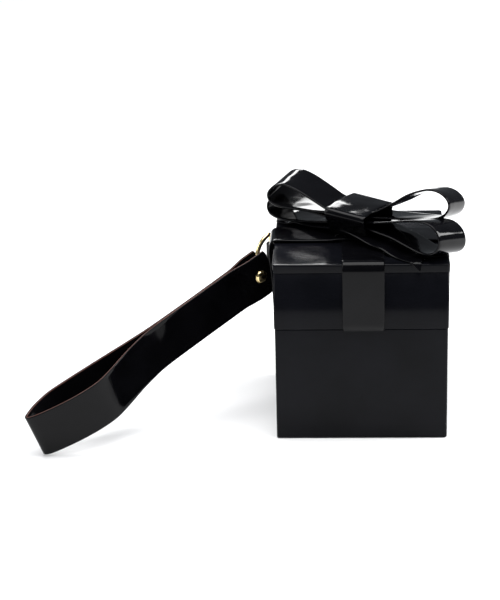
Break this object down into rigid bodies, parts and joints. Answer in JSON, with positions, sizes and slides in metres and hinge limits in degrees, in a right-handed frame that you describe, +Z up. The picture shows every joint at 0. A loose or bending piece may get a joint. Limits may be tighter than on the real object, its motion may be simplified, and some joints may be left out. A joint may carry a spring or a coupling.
{
  "type": "jewelry gift box",
  "caption": "Square hinged jewelry gift box in patent wrap, with a layered ribbon bow on the lid, a lift-out ring tray and a wrist strap hung from a D-ring.",
  "frame": {"origin": "centre of the box's underside, on the surface that it rests on", "axes": "+Z up; -Y is the front, opposite the hinges; the D-ring and the wrist strap are on the -X side"},
  "size_m": [0.2534, 0.1338, 0.1441],
  "materials": {
    "board": "raw greyboard",
    "patent": "black patent vinyl wrap",
    "patent_ribbon": "black patent leather",
    "bottom_paper": "matt coated paper",
    "collar_suede": "brushed suede paper",
    "suede": "microsuede",
    "strap_lining": "black patent leather with a red-brown edge",
    "satin": "satin ribbon",
    "brass": "polished, gold plated",
    "steel": "nickel plated"
  },
  "bodies": {
    "base": {"base_board": "board", "base_wrap": "patent", "base_bottom_sheet": "bottom_paper", "neck_collar": "collar_suede", "collar_keepers": "steel", "base_floor_pad": "suede", "tray_ledges": "collar_suede", "hinge_base_leaves": "brass", "hinge_base_nails": "brass", "hinge_pins": "steel"},
    "tray": {"tray_box": "suede", "tray_divider": "suede", "tray_well_pads": "suede", "ring_roll_1": "suede", "ring_roll_2": "suede", "ring_roll_3": "suede", "ring_roll_4": "suede", "ring_roll_5": "suede", "ring_roll_6": "suede", "tray_pull_tab": "satin"},
    "lid": {"lid_board": "board", "lid_magnets": "steel", "lid_side_wrap": "patent", "lid_top_wrap": "patent", "lid_lining": "suede", "lid_pad": "suede", "hinge_lid_leaves": "brass", "hinge_lid_nails": "brass", "band_front_back": "patent_ribbon", "band_left_right": "patent_ribbon", "bow_tail_strip": "patent_ribbon", "bow_lower_loops": "patent_ribbon", "bow_upper_loops": "patent_ribbon", "bow_knot_band": "patent_ribbon", "bow_rivet": "brass", "ring_tab": "patent_ribbon", "tab_rivet": "brass"},
    "ring": {"d_ring": "brass"},
    "strap": {"strap_skin": "patent_ribbon", "strap_lining": "strap_lining", "strap_tongue": "patent_ribbon", "strap_rivet": "brass", "strap_rivet_back": "brass"}
  },
  "joints": [
    {"name": "lid_hinge", "type": "hinge", "parent": "base", "child": "lid", "pos_m": [0, 0.0516, 0.068], "axis": [-1, 0, 0], "range_deg": [0, 95]},
    {"name": "tray_lift", "type": "slide", "parent": "base", "child": "tray", "axis": [0, 0, 1], "range_m": [0, 0.02]},
    {"name": "ring_swing", "type": "hinge", "parent": "lid", "child": "ring", "pos_m": [-0.0536, 0.026, 0.0875], "axis": [0, 0, 1], "range_deg": [-60, 4]},
    {"name": "strap_swing", "type": "hinge", "parent": "ring", "child": "strap", "pos_m": [-0.05041, 0.02841, 0.0875], "axis": [-0.6018, 0.7986, 0], "range_deg": [0, 40]}
  ]
}
